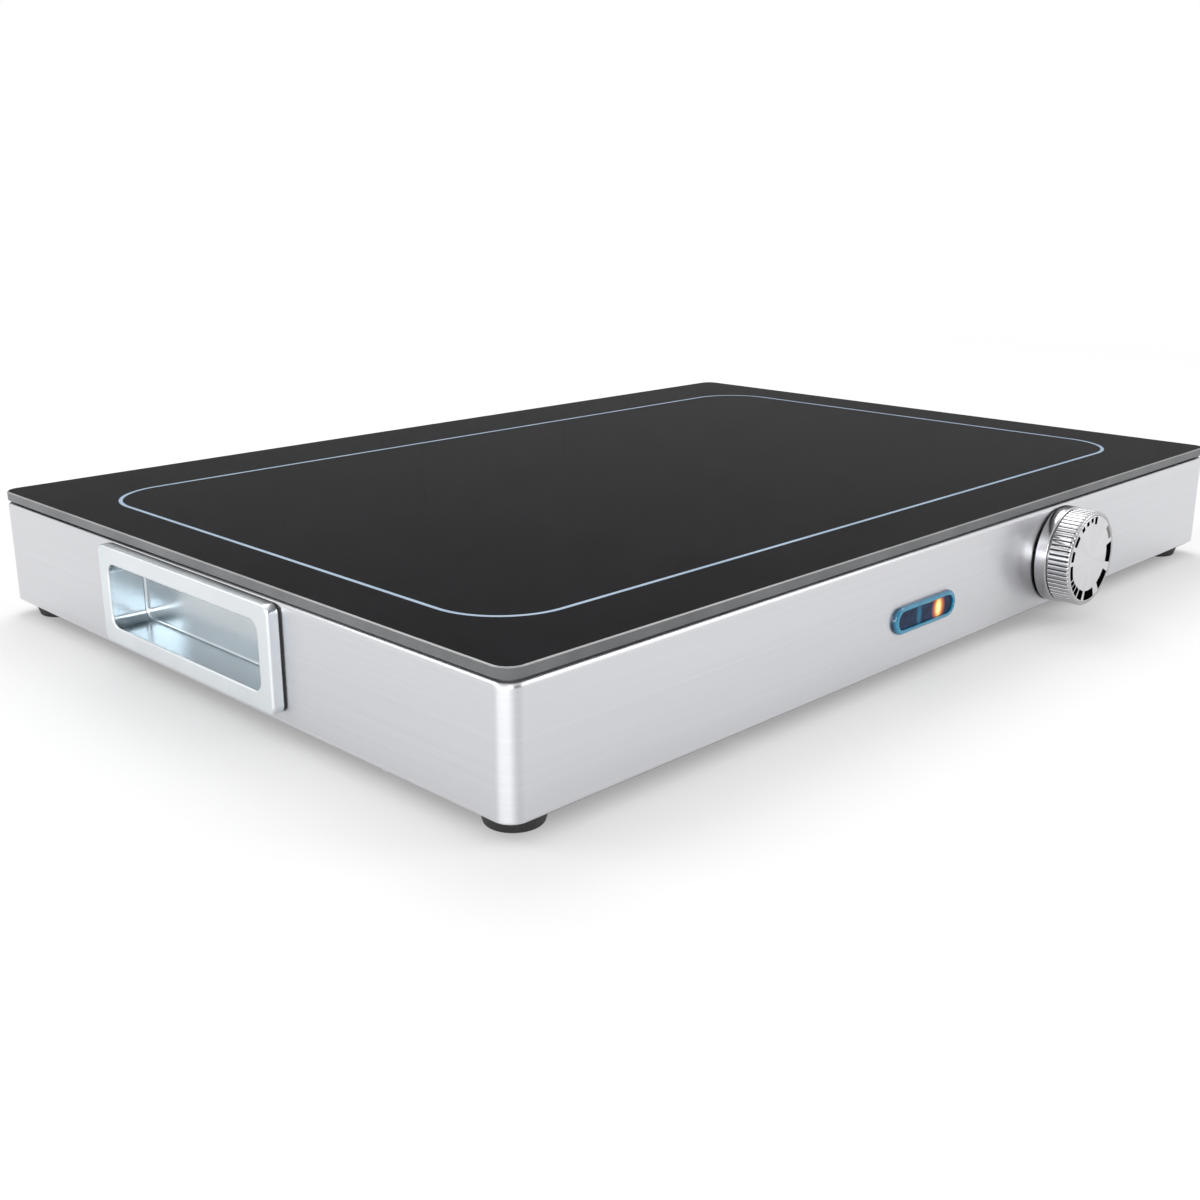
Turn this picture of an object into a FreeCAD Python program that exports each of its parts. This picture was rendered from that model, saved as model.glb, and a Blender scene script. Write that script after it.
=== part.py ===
import FreeCAD, Part
import math
import os

# Electric warming tray: a low steel housing with a glass top, recessed handles in both short sides,
# and one knob and one pilot light on the long front side. Lengths are in millimetres.
# The origin is the centre of the whole object's footprint, on the surface that it stands on.
# +X runs along the front towards the knob, +Y from front to back, +Z up.

V = FreeCAD.Vector
ORIGIN = V(0, 0, 0)
X_AXIS = V(1, 0, 0)
Z_AXIS = V(0, 0, 1)

# Housing
width = 560.0
depth = 392.0
housing_height = 52.0
wall = 1.0
corner_radius = 8.0
top_bend = 1.0
top_lip = 12.0
bottom_lip = 11.0
bottom_edge = 0.8

# Glass top and its seal
glass_thick = 4.6
glass_chamfer = 0.8
glass_ground_edge = 0.4
seal_thick = 1.1
seal_inset = 3.2
seal_width = 7.0

# Base plate
base_thick = 1.0
base_inset = 2.0
panel_margin = 38.0
panel_rise = 3.0
panel_corner = 16.0
panel_slope = 2.4
vent_length = 52.0
vent_width = 4.0
vent_pitch = 12.0
vent_count = 5
vent_field = 130.0

# Feet
foot_height = 7.0
foot_top_radius = 13.0
foot_bottom_radius = 11.5
foot_edge = 1.0
foot_collar = 1.4
foot_recess_radius = 5.0
foot_recess_depth = 3.6
foot_inset = 17.5
foot_sides = 24

# Fasteners: shank radius, head radius, head height
M3 = (1.5, 2.9, 1.8)
M4 = (2.0, 3.9, 2.4)
screw_clearance = 0.15
nut_height = 2.4
nut_factor = 1.95
base_screw_inset = 6.4
base_screw_x = 150.0
base_screw_y = 120.0
screw_tail = 3.0
screw_end = 1.0
screw_bottom_gap = 0.5
fastener_sides = 8
head_sides = 12

# Recessed handles
handle_offset = 10.0
handle_up = 28.3
frame_side = 8.5
frame_side_up = 8.2
frame_thick = 5.0
frame_corner = 4.0
frame_edge = 1.1
gasket_thick = 1.0
gasket_inset = 0.6
cup_length = 125.0
cup_height = 30.0
cup_corner = 5.0
cup_depth = 18.0
cup_wall = 1.6
cup_floor_edge = 1.6
cup_mouth_edge = 0.7
cup_clearance = 0.6
boss_radius = 3.6
boss_height = 4.0
boss_spacing = 80.0
strap_thick = 1.2
strap_width = 15.0
strap_foot = 9.0
strap_clearance = 1.6

# Knob, on the thermostat's shaft
knob_x = 99.3
knob_up = 26.2
knob_gap = 0.8
skirt_lip = 0.6
skirt_height = 6.2
skirt_edge = 0.9
drum_radius = 24.3
drum_height = 12.0
rib_count = 60
rib_depth = 0.7
rib_land = 0.62
drum_chamfer = 0.7
knob_wall = 3.4
dial_rim = 1.9
dial_thick = 0.8
dial_clearance = 0.1
hub_radius = 6.5
hub_web = 2.6
hub_start = 5.0
hub_arm = 2.4
shaft_radius = 3.0
shaft_flat = 1.5
shaft_reach = 14.2
running_gap = 0.05

# Thermostat behind the front wall
bush_radius = 5.0
bush_reach = 3.2
bush_clearance = 0.4
mount_plate = (46.0, 34.0, 1.2)
mount_pitch = 28.0
body_size = (38.0, 33.0)
can_depth = 12.0
switch_depth = 14.0
shaft_seat = 2.0
thermostat_screw_length = 6.5
switch_step = (2.5, 3.0)
tab_size = (6.3, 0.8, 8.0)
tab_pitch = 10.0

# Sensing bulb under the plate
bulb_radius = 3.0
bulb_length = 86.0
bulb_front = 15.0
capillary_radius = 0.9
capillary_offset = 12.0
clip_thick = 0.6
clip_width = 8.0
clip_ear = 6.0
clip_shares = (0.25, 0.75)

# Pilot light in the front wall
light_x = -26.4
light_up = 21.8
bezel_side = 4.5
bezel_side_up = 2.8
bezel_proud = 2.2
bezel_edge = 1.2
window_length = 43.6
window_height = 8.2
window_sunk = 0.9
window_thick = 1.4
window_clearance = 0.1
neck_side = 2.5
neck_side_up = 1.6
neck_clearance = 0.4
socket_side = 2.7
socket_side_up = 2.8
socket_depth = 16.0
socket_wall = 1.6
socket_margin = 1.0
stem_clearance = 0.1
lamp_size = (4.6, 7.0, 7.0)
lamp_gap = 0.4
amber_offset = 12.0
blue_offset = -5.1
lead_radius = 1.0

# Heater: the printed zone on the glass, and what lies below it
zone_side = 30.0
zone_end = 42.25
zone_offset = -6.2
spreader_margin = 4.0
spreader_thick = 1.5
mica_upper_thick = 0.6
mica_lower_thick = 1.0
mica_margin = 24.0
mica_front_margin = 34.0
ribbon_width = 7.0
ribbon_thick = 0.3
ribbon_runs = 10
ribbon_side = 16.0
tail_width = 6.3
tail_reach = 14.0
seat_gap = 0.1
mat_thick = 10.0
mat_clearance = 2.0
mat_groove = 12.0
shield_thick = 0.8
shield_rim = 6.0
shield_hole_clearance = 0.8
bar_width = 24.0
bar_thick = 1.5
bar_x = 150.0
bar_tab = 13.0

# Thermal cut-out on the underside of the heat shield
cutout_radius = 8.0
cutout_height = 7.0
cutout_sides = 24
cutout_place = (30.0, 60.0)
ear_length = 30.0
ear_width = 8.0
ear_thick = 0.8

# Appliance inlet in the rear wall
inlet_side = 80.0
inlet_up = 27.0
flange_length = 50.0
flange_height = 24.0
flange_thick = 2.0
flange_corner = 5.0
flange_edge = 0.5
inlet_pitch = 40.0
inlet_length = 28.0
inlet_height = 20.0
inlet_wall = 1.8
inlet_depth = 17.0
inlet_floor = 2.0
inlet_chamfer = 5.0
inlet_clearance = 0.3
blade_size = (2.0, 4.0, 14.0)
blade_spread = 7.0
blade_shift = 2.0
blade_tail = 8.0
blade_sunk = 1.0

# Terminal block and earth stud on the base plate
block_size = (40.0, 17.0, 15.0)
block_shift = 2.0
block_from_rear = 78.0
block_ways = 3
block_pitch = 12.0
block_bore = 2.2
block_bore_up = 6.0
earth_shift = 50.0
earth_from_rear = 68.0
earth_height = 12.0

# Levels, from the standing surface up
housing_bottom = foot_height + base_thick
housing_top = housing_bottom + housing_height
glass_bottom = housing_top + seal_thick
spreader_bottom = glass_bottom - spreader_thick
ribbon_top = spreader_bottom - mica_upper_thick
mica_lower_top = ribbon_top - ribbon_thick
mat_top = mica_lower_top - mica_lower_thick
mat_bottom = mat_top - mat_thick
shield_bottom = mat_bottom - shield_thick
panel_top = housing_bottom + panel_rise
base_level = foot_height

# Sizes that follow from what they surround or lie on
frame_length = cup_length + 2 * frame_side
frame_height = cup_height + 2 * frame_side_up
skirt_radius = drum_radius + skirt_lip
dial_radius = drum_radius - dial_rim
bezel_length = window_length + 2 * bezel_side
bezel_height = window_height + 2 * bezel_side_up
neck_length = window_length + 2 * neck_side
neck_height = window_height + 2 * neck_side_up
socket_length = neck_length + 2 * socket_side
socket_height = neck_height + 2 * socket_side_up
zone_length = width - 2 * zone_side
zone_depth = depth - 2 * zone_end
inlet_x = width / 2 - inlet_side
block_place = (inlet_x - block_shift, depth / 2 - block_from_rear)
earth_place = (inlet_x - earth_shift, depth / 2 - earth_from_rear)

# Reaches of the knob and of the inlet from the walls set where the housing lies on the footprint
knob_reach = knob_gap + skirt_height + drum_height
inlet_reach = flange_thick + M3[2]
housing_centre_y = (knob_reach - inlet_reach) / 2

spreader_length = zone_length - 2 * spreader_margin
spreader_depth = zone_depth - 2 * spreader_margin
shield_length = spreader_length - 2 * shield_rim
shield_depth = spreader_depth - 2 * shield_rim
shield_front = zone_offset - shield_depth / 2
mica_length = shield_length - 2 * mica_margin
mica_depth = shield_depth - mica_front_margin - mica_margin
mica_centre = shield_front + mica_front_margin + mica_depth / 2
ribbon_pitch = (mica_depth - 2 * ribbon_side) / (ribbon_runs - 1)
ribbon_lanes = [(i - (ribbon_runs - 1) / 2) * ribbon_pitch + mica_centre for i in range(ribbon_runs)]
frame_front = gasket_thick + frame_thick
cup_floor = frame_front - cup_depth
cup_back = cup_floor - cup_wall
boss_end = cup_back - boss_height
block_outer_length = cup_length + 2 * cup_wall
block_outer_height = cup_height + 2 * cup_wall
body_back = -wall - mount_plate[2] - can_depth - switch_depth
bezel_floor = bezel_proud - window_sunk
socket_back = -wall - socket_depth
inlet_back = flange_thick - inlet_depth - inlet_floor

WALL_TURN = {"front": 0, "right": 90, "rear": 180, "left": -90}
HANDLES = {"left": -handle_offset, "right": handle_offset}


def block(length, breadth, height, corner, z=0.0):
    """Upright block centred on the Z axis, its four upright edges rounded."""
    solid = Part.makeBox(length, breadth, height, V(-length / 2, -breadth / 2, z))
    upright = [e for e in solid.Edges if abs(e.tangentAt(e.FirstParameter).z) > 0.99]
    return solid.makeFillet(corner, upright)


def stadium(length, breadth, height, z=0.0):
    """Upright block centred on the Z axis, with half-round ends."""
    r = breadth / 2
    s = length / 2 - r
    a, b, c, d = V(-s, -r, z), V(s, -r, z), V(s, r, z), V(-s, r, z)
    edges = [Part.LineSegment(a, b), Part.Arc(b, V(s + r, 0, z), c)]
    edges += [Part.LineSegment(c, d), Part.Arc(d, V(-s - r, 0, z), a)]
    outline = Part.Wire([e.toShape() for e in edges])
    return Part.Face(outline).extrude(V(0, 0, height))


def cylinder(radius, height, x=0.0, y=0.0, z=0.0):
    return Part.makeCylinder(radius, height, V(x, y, z))


def plate(length, breadth, height, z=0.0):
    """Block centred on the Z axis, with square corners."""
    return Part.makeBox(length, breadth, height, V(-length / 2, -breadth / 2, z))


def ring(radius, sides, z):
    """Closed outline with equal sides, its corners on the radius."""
    angles = [2 * math.pi * i / sides for i in range(sides + 1)]
    return Part.makePolygon([V(radius * math.cos(a), radius * math.sin(a), z) for a in angles])


def prism(radius, height, x=0.0, y=0.0, z=0.0, sides=fastener_sides):
    return moved(Part.Face(ring(radius, sides, z)).extrude(V(0, 0, height)), x, y)


def stack(profile, sides):
    """Solid with flat sides through rings of the given radius and height."""
    return Part.makeLoft([ring(radius, sides, z) for radius, z in profile], True, True)


def rim(solid, z):
    """Edges of the solid that lie in the level plane at z."""
    level = [e for e in solid.Edges if all(abs(v.Z - z) < 0.001 for v in e.Vertexes)]
    return [e for e in level if abs(e.CenterOfMass.z - z) < 0.001]


def strip(points, thick, breadth):
    """Folded sheet strip: its centre line in X and Z, its thickness, and its breadth in Y."""
    path = [V(x, 0, z) for x, z in points]
    run = (path[1] - path[0]).normalize()
    across = V(-run.z, 0, run.x) * (thick / 2)
    side = V(0, breadth / 2, 0)
    return mitred(path, [across + side, across - side, side * -1 - across, side - across])


def mitred(path, outline):
    """Solid swept along straight runs with mitred turns; the outline is given from the path's first point."""
    section = [path[0] + p for p in outline]
    return Part.makePolygon(path).makePipeShell([Part.makePolygon(section + section[:1])], True, False, 1)


def tube(points, radius):
    """Thin pipe along the points, with mitred elbows; its first run lies along Y or Z."""
    run = (points[1] - points[0]).normalize()
    across = X_AXIS.cross(run)
    angles = [2 * math.pi * i / head_sides for i in range(head_sides)]
    outline = [(X_AXIS * math.cos(a) + across * math.sin(a)) * radius for a in angles]
    solid = mitred(points, outline)
    expected = Part.Face(ring(radius, head_sides, 0)).Area * Part.makePolygon(points).Length
    if abs(solid.Volume - expected) > 0.01 * expected:
        print("tube volume is off:", round(solid.Volume, 1), round(expected, 1))
    return solid


def screw(size, length, z=0.0):
    """Pan head screw pointing down from its head, which sits on the level z."""
    shank, head, height = size
    return prism(head, height, z=z, sides=head_sides).fuse(prism(shank, length, z=z - length))


def moved(shape, x=0.0, y=0.0, z=0.0):
    placed = shape.copy()
    placed.translate(V(x, y, z))
    return placed


def flipped(shape):
    """The shape turned upside down about the X axis."""
    placed = shape.copy()
    placed.rotate(ORIGIN, X_AXIS, 180)
    return placed


def on_wall(shape, side, along, up):
    """Stand a piece that was built facing +Z against the outer face of one wall."""
    placed = shape.copy()
    placed.rotate(ORIGIN, X_AXIS, 90)
    reach = width / 2 if side in ("left", "right") else depth / 2
    placed.translate(V(along, -reach, housing_bottom + up))
    placed.rotate(ORIGIN, Z_AXIS, WALL_TURN[side])
    return placed


def corners(inset_x, inset_y):
    """Four points, inset from the housing's edges, as front left, front right, rear left, rear right."""
    x, y = width / 2 - inset_x, depth / 2 - inset_y
    return [(-x, -y), (x, -y), (-x, y), (x, y)]


def base_screw_places():
    """Points along the bottom lip, two on each side."""
    x, y = width / 2 - base_screw_inset, depth / 2 - base_screw_inset
    front_and_rear = [(s * base_screw_x, t * y) for s in (-1, 1) for t in (-1, 1)]
    return front_and_rear + [(s * x, t * base_screw_y) for s in (-1, 1) for t in (-1, 1)]


def glass_plate():
    plate = block(width, depth, glass_thick, corner_radius, glass_bottom)
    plate = plate.makeChamfer(glass_chamfer, rim(plate, glass_bottom + glass_thick))
    return plate.makeChamfer(glass_ground_edge, rim(plate, glass_bottom))


def glass_seal():
    length, breadth = width - 2 * seal_inset, depth - 2 * seal_inset
    outer = block(length, breadth, seal_thick, corner_radius - seal_inset, housing_top)
    opening = seal_inset + seal_width
    return outer.cut(plate(width - 2 * opening, depth - 2 * opening, seal_thick, housing_top))


def cup_shell(grow, z, height):
    """Block round the finger recess, larger than its walls by grow."""
    corner = cup_corner + cup_wall + grow
    return block(block_outer_length + 2 * grow, block_outer_height + 2 * grow, height, corner, z)


def inlet_shape(grow, z, height):
    """Block with the two cut corners of an appliance inlet, larger than the inlet's body by grow."""
    x, y = inlet_length / 2 + grow, inlet_height / 2 + grow
    c = inlet_chamfer
    outline = [(-x, -y), (x, -y), (x, y - c), (x - c, y), (-x + c, y), (-x, y - c), (-x, -y)]
    face = Part.Face(Part.makePolygon([V(a, b, z) for a, b in outline]))
    return face.extrude(V(0, 0, height))


def housing_shell():
    outer = block(width, depth, housing_height, corner_radius, housing_bottom)
    outer = outer.makeChamfer(top_bend, rim(outer, housing_top))
    outer = outer.makeChamfer(bottom_edge, rim(outer, housing_bottom))
    low, high = housing_bottom + wall, housing_top - wall
    inner = block(width - 2 * wall, depth - 2 * wall, high - low, corner_radius - wall, low)
    shell = outer.cut(inner)
    for lip, level in ((top_lip, high - wall), (bottom_lip, low - 3 * wall)):
        shell = shell.cut(block(width - 2 * lip, depth - 2 * lip, 4 * wall, corner_radius / 2, level))
    through = 4 * wall
    for side, along in HANDLES.items():
        shell = shell.cut(on_wall(cup_shell(cup_clearance, -through, 2 * through), side, along, handle_up))
    shaft_holes = cylinder(bush_radius + bush_clearance, 2 * through, z=-through)
    for s in (-1, 1):
        hole = prism(M4[0] + screw_clearance, 2 * through, s * mount_pitch / 2, 0, -through)
        shaft_holes = shaft_holes.fuse(hole)
    shell = shell.cut(on_wall(shaft_holes, "front", knob_x, knob_up))
    neck = stadium(neck_length + 2 * neck_clearance, neck_height + 2 * neck_clearance, 2 * through, -through)
    shell = shell.cut(on_wall(neck, "front", light_x, light_up))
    inlet_holes = inlet_shape(inlet_clearance, -through, 2 * through)
    for s in (-1, 1):
        hole = prism(M3[0] + screw_clearance, 2 * through, s * inlet_pitch / 2, 0, -through)
        inlet_holes = inlet_holes.fuse(hole)
    shell = shell.cut(on_wall(inlet_holes, "rear", -inlet_x, inlet_up))
    for x, y in base_screw_places():
        shell = shell.cut(prism(M3[0] + running_gap, 4 * wall, x, y, housing_bottom - wall))
    return shell


def base_plate():
    flange = block(width - 2 * base_inset, depth - 2 * base_inset, base_thick, corner_radius, base_level)
    panel_length, panel_depth = width - 2 * panel_margin, depth - 2 * panel_margin
    outer = block(panel_length, panel_depth, base_thick + panel_rise, panel_corner, base_level)
    outer = outer.makeChamfer(panel_slope, rim(outer, panel_top))
    skin = 2 * base_thick
    inner = block(panel_length - skin, panel_depth - skin, panel_rise, panel_corner - base_thick, base_level)
    inner = inner.makeChamfer(panel_slope, rim(inner, base_level + panel_rise))
    base = flange.fuse(outer).cut(inner)
    vent = plate(vent_width, vent_length, 4 * base_thick, panel_top - 2 * base_thick)
    for field in (-vent_field, vent_field):
        for i in range(vent_count):
            base = base.cut(moved(vent, field + (i - (vent_count - 1) / 2) * vent_pitch))
    for x, y in corners(foot_inset, foot_inset):
        base = base.cut(prism(M4[0] + screw_clearance, 4 * base_thick, x, y, base_level - base_thick))
    for x, y in base_screw_places():
        base = base.cut(prism(M3[0] + screw_clearance, 4 * base_thick, x, y, base_level - base_thick))
    for x, y in (block_place, earth_place):
        base = base.cut(prism(M3[0] + screw_clearance, 4 * base_thick, x, y, panel_top - 2 * base_thick))
    return base


def foot():
    """Tapered rubber foot with a recess below for its screw."""
    profile = [(foot_bottom_radius - foot_edge, 0), (foot_bottom_radius, foot_edge)]
    profile += [(foot_top_radius, foot_height - foot_collar), (foot_top_radius, foot_height)]
    solid = stack(profile, foot_sides).cut(prism(foot_recess_radius, foot_recess_depth, sides=foot_sides))
    return solid.cut(prism(M4[0] + screw_clearance, foot_height))


def foot_screw():
    length = foot_height - foot_recess_depth + base_thick + nut_height + screw_end
    return moved(flipped(screw(M4, length)), z=foot_recess_depth)


def nut(size, z=0.0):
    """Hexagon nut round a shank of the given size."""
    blank = prism(size[0] * nut_factor, nut_height, z=z, sides=6)
    return blank.cut(prism(size[0] + running_gap, nut_height, z=z))


def base_screw():
    return moved(flipped(screw(M3, base_thick + wall + screw_tail)), z=base_level)


def handle_cup():
    """Cup with its frame, facing +Z, with the wall's outer face at zero."""
    frame = block(frame_length, frame_height, frame_thick, frame_corner, gasket_thick)
    frame = frame.makeChamfer(frame_edge, rim(frame, frame_front))
    cup = frame.fuse(cup_shell(0, cup_back, gasket_thick - cup_back))
    for s in (-1, 1):
        cup = cup.fuse(prism(boss_radius, boss_height, s * boss_spacing / 2, 0, boss_end, head_sides))
    recess = block(cup_length, cup_height, cup_depth, cup_corner, cup_floor)
    recess = recess.makeChamfer(cup_floor_edge, rim(recess, cup_floor))
    cup = cup.cut(recess)
    mouth = [e for e in rim(cup, frame_front) if -cup_length / 2 - 0.01 < e.BoundBox.XMin]
    mouth = [e for e in mouth if e.BoundBox.XMax < cup_length / 2 + 0.01]
    mouth = [e for e in mouth if -cup_height / 2 - 0.01 < e.BoundBox.YMin]
    mouth = [e for e in mouth if e.BoundBox.YMax < cup_height / 2 + 0.01]
    cup = cup.makeChamfer(cup_mouth_edge, mouth)
    for s in (-1, 1):
        cup = cup.cut(prism(M3[0] + running_gap, boss_height, s * boss_spacing / 2, 0, boss_end))
    return cup


def handle_gasket():
    inset, grow = 2 * gasket_inset, 2 * cup_clearance
    pad = block(frame_length - inset, frame_height - inset, gasket_thick, frame_corner)
    return pad.cut(plate(block_outer_length + grow, block_outer_height + grow, gasket_thick))


def handle_strap():
    """Bridge that bears on the inside of the wall and spans the back of the cup."""
    bridge = boss_end - strap_thick / 2
    knee = block_outer_length / 2 + cup_clearance + strap_clearance + strap_thick
    toe = knee + strap_foot
    seat = -wall - strap_thick / 2
    line = [(-toe, seat), (-knee, seat), (-knee, bridge), (knee, bridge), (knee, seat), (toe, seat)]
    strap = strip(line, strap_thick, strap_width)
    hole = prism(M3[0] + screw_clearance, 4 * strap_thick, z=bridge - 2 * strap_thick)
    for s in (-1, 1):
        strap = strap.cut(moved(hole, s * boss_spacing / 2))
    return strap


def handle_screw():
    return moved(flipped(screw(M3, strap_thick + boss_height - screw_bottom_gap)), z=boss_end - strap_thick)


def knob_body():
    """Skirt and ribbed drum in one casting, hollow behind, facing +Z."""
    bottom, step, top = knob_gap, knob_gap + skirt_height, knob_reach
    bore = drum_radius - knob_wall
    skirt = cylinder(skirt_radius, skirt_height, z=bottom)
    skirt = skirt.makeChamfer(skirt_edge, rim(skirt, step))
    outlines = [rib_outline(drum_radius, step), rib_outline(drum_radius, top - drum_chamfer)]
    outlines.append(rib_outline(drum_radius - drum_chamfer, top))
    body = skirt.fuse(Part.makeLoft(outlines, True, True))
    pocket = top - dial_thick - hub_web
    body = body.cut(cylinder(bore, pocket - bottom, z=bottom))
    return body.cut(cylinder(dial_radius, dial_thick, z=top - dial_thick)).removeSplitter()


def rib_outline(crest, z):
    """Outline of the ribs: each has a narrow valley and a flat crest."""
    valley = crest * (1 - rib_depth / drum_radius)
    points = []
    for i in range(rib_count):
        for step, radius in ((0, valley), ((1 - rib_land) / 2, crest), ((1 + rib_land) / 2, crest)):
            angle = 2 * math.pi * (i + step) / rib_count
            points.append(V(radius * math.cos(angle), radius * math.sin(angle), z))
    return Part.makePolygon(points + points[:1])


def knob_face():
    return cylinder(dial_radius - dial_clearance, dial_thick, z=knob_reach - dial_thick)


def shaft_section(radius, height, z):
    """Round bar with one flat."""
    flat = Part.makeBox(2 * radius, radius, height, V(-radius, shaft_flat + radius - shaft_radius, z))
    return cylinder(radius, height, z=z).cut(flat)


def knob_hub():
    """Moulded insert: a boss that grips the shaft, on a web with radial arms."""
    top = knob_reach - dial_thick - hub_web
    bore = drum_radius - knob_wall
    hub = cylinder(hub_radius, top - hub_start, z=hub_start)
    reach = math.sqrt((bore - dial_clearance)**2 - (hub_arm / 2)**2)
    for i in range(3):
        arm = plate(2 * reach, hub_arm, hub_web, top - hub_web)
        arm.rotate(ORIGIN, Z_AXIS, 60 * i)
        hub = hub.fuse(arm)
    return hub.cut(shaft_section(shaft_radius + running_gap, shaft_reach - hub_start, hub_start))


def thermostat_shaft():
    low = -wall - mount_plate[2] - can_depth + shaft_seat
    shaft = cylinder(shaft_radius, hub_start - low, z=low)
    return shaft.fuse(shaft_section(shaft_radius, shaft_reach - hub_start, hub_start)).removeSplitter()


def thermostat_frame():
    plate_z = -wall - mount_plate[2]
    frame = plate(mount_plate[0], mount_plate[1], mount_plate[2], plate_z)
    frame = frame.fuse(plate(body_size[0], body_size[1], can_depth, plate_z - can_depth))
    frame = frame.fuse(cylinder(bush_radius, bush_reach - plate_z, z=plate_z))
    low = plate_z - can_depth + shaft_seat
    tapped = thermostat_screw_length + screw_bottom_gap
    frame = frame.cut(cylinder(shaft_radius + running_gap, bush_reach - low, z=low))
    for s in (-1, 1):
        frame = frame.cut(prism(M4[0] + running_gap, tapped, s * mount_pitch / 2, 0, -tapped))
    return frame


def thermostat_switch():
    """Moulded switch block behind the thermostat, with a smaller back."""
    inset, step = switch_step
    back = plate(body_size[0] - 2 * inset, body_size[1] - 2 * inset, step, body_back)
    return back.fuse(plate(body_size[0], body_size[1], switch_depth - step, body_back + step))


def thermostat_tabs():
    x, y, reach = tab_size
    tabs = []
    for i in (-1, 0, 1):
        tabs.append(Part.makeBox(y, x, reach, V(i * tab_pitch - y / 2, -x / 2, body_back - reach)))
    return tabs


def thermostat_screw():
    return screw(M4, thermostat_screw_length)


def indicator_bezel():
    bezel = stadium(bezel_length, bezel_height, bezel_proud, 0)
    bezel = bezel.makeChamfer(bezel_edge, rim(bezel, bezel_proud))
    bezel = bezel.fuse(stadium(neck_length, neck_height, wall, -wall))
    return bezel.cut(stadium(window_length, window_height, 4 * bezel_proud, -2 * bezel_proud)).removeSplitter()


def indicator_window():
    play = 2 * window_clearance
    return stadium(window_length - play, window_height - play, window_thick, bezel_floor - window_thick)


def indicator_body():
    """Moulded box behind the wall, open towards the window, with its back closed."""
    box = plate(socket_length, socket_height, socket_depth, socket_back)
    inside = window_height + 2 * socket_margin
    box = box.cut(plate(window_length, inside, socket_depth - socket_wall, socket_back + socket_wall))
    for offset in (amber_offset, blue_offset):
        box = box.cut(prism(lead_radius + stem_clearance, socket_wall, offset, 0, socket_back))
    return box


def lamp():
    x, y, z = lamp_size
    low = bezel_floor - window_thick - lamp_gap - z
    body = plate(x, y, z, low)
    stem = prism(lead_radius, low - socket_back, z=socket_back)
    return body.fuse(stem)


def heat_spreader():
    return plate(spreader_length, spreader_depth, spreader_thick, spreader_bottom)


def heating_element():
    """Flat resistance ribbon between the mica sheets: one run per lane, with both ends near +X."""
    turn = mica_length / 2 - ribbon_side
    end = turn - ribbon_pitch / 2
    z = mica_lower_top + ribbon_thick / 2
    path = [V(end, ribbon_lanes[0], z)]
    for i, (lane, after) in enumerate(zip(ribbon_lanes, ribbon_lanes[1:])):
        x = turn if i % 2 else -turn
        path += [V(x, lane, z), V(x, after, z)]
    path.append(V(end, ribbon_lanes[-1], z))
    side = V(0, ribbon_width / 2, 0)
    rise = V(0, 0, ribbon_thick / 2)
    return mitred(path, [rise + side, rise - side, side * -1 - rise, side - rise])


def mica_sheet(thick, z):
    return moved(plate(mica_length, mica_depth, thick, z), 0, mica_centre)


def element_tails():
    """Terminal strips, welded under the two ends of the ribbon, that leave through the side of the shield."""
    start = mica_length / 2 - ribbon_side - ribbon_pitch / 2 + seat_gap
    length = shield_length / 2 + tail_reach - start
    tail = Part.makeBox(length, tail_width, ribbon_thick, V(start, -tail_width / 2, mica_lower_top))
    return [moved(tail, 0, lane) for lane in (ribbon_lanes[0], ribbon_lanes[-1])]


def insulation_mat():
    skin = 2 * (shield_thick + mat_clearance)
    mat = plate(shield_length - skin, shield_depth - skin, mat_thick, mat_bottom)
    mat = moved(mat, 0, zone_offset)
    end = bulb_end()
    low = bulb_up() - bulb_radius - 2 * clip_thick
    length = bulb_length + mat_groove
    corner = V(end.x - bulb_length - mat_groove / 2, end.y - 2 * mat_groove, low)
    return mat.cut(Part.makeBox(length + mat_groove, 3 * mat_groove, mat_thick, corner))


def heat_shield():
    height = spreader_bottom - shield_bottom
    outer = plate(shield_length, shield_depth, height, shield_bottom)
    edge = plate(spreader_length, spreader_depth, shield_thick, spreader_bottom - shield_thick)
    skin = 2 * shield_thick
    inner = plate(shield_length - skin, shield_depth - skin, height, mat_bottom)
    pan = moved(outer.fuse(edge).cut(inner), 0, zone_offset)
    notch = tail_width + 4 * shield_hole_clearance
    for lane in (ribbon_lanes[0], ribbon_lanes[-1]):
        corner = V(shield_length / 2 - 2 * shield_thick, lane - notch / 2, mat_top - shield_thick)
        pan = pan.cut(Part.makeBox(4 * shield_rim, notch, spreader_bottom - mat_top + shield_thick, corner))
    start = V(knob_x + capillary_offset, shield_front - shield_rim / 2, bulb_up())
    return pan.cut(Part.makeCylinder(capillary_radius + shield_hole_clearance, shield_rim, start, V(0, 1, 0)))


def cross_bars():
    """Bars from front wall to rear wall, their ends turned down and welded to the walls."""
    half = depth / 2 - wall - bar_thick / 2
    level = shield_bottom - bar_thick / 2
    line = [(-half, level - bar_tab), (-half, level), (half, level), (half, level - bar_tab)]
    bar = strip(line, bar_thick, bar_width)
    bar.rotate(ORIGIN, Z_AXIS, 90)
    return [moved(bar, x) for x in (-bar_x, bar_x)]


def bulb_up():
    return spreader_bottom - bulb_radius - seat_gap


def bulb_end():
    """The end of the bulb that the capillary tube enters."""
    return V(knob_x, shield_front + bulb_front, bulb_up())


def sensing_bulb():
    end = bulb_end()
    return Part.makeCylinder(bulb_radius, bulb_length, end, V(-1, 0, 0))


def capillary_tube():
    end = bulb_end()
    x = knob_x + capillary_offset
    y = -depth / 2 + wall + mount_plate[2] + can_depth / 2
    top = housing_bottom + knob_up + body_size[1] / 2
    points = [V(x, y, top), V(x, y, end.z), V(x, end.y, end.z), end]
    return tube(points, capillary_radius)


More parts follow.
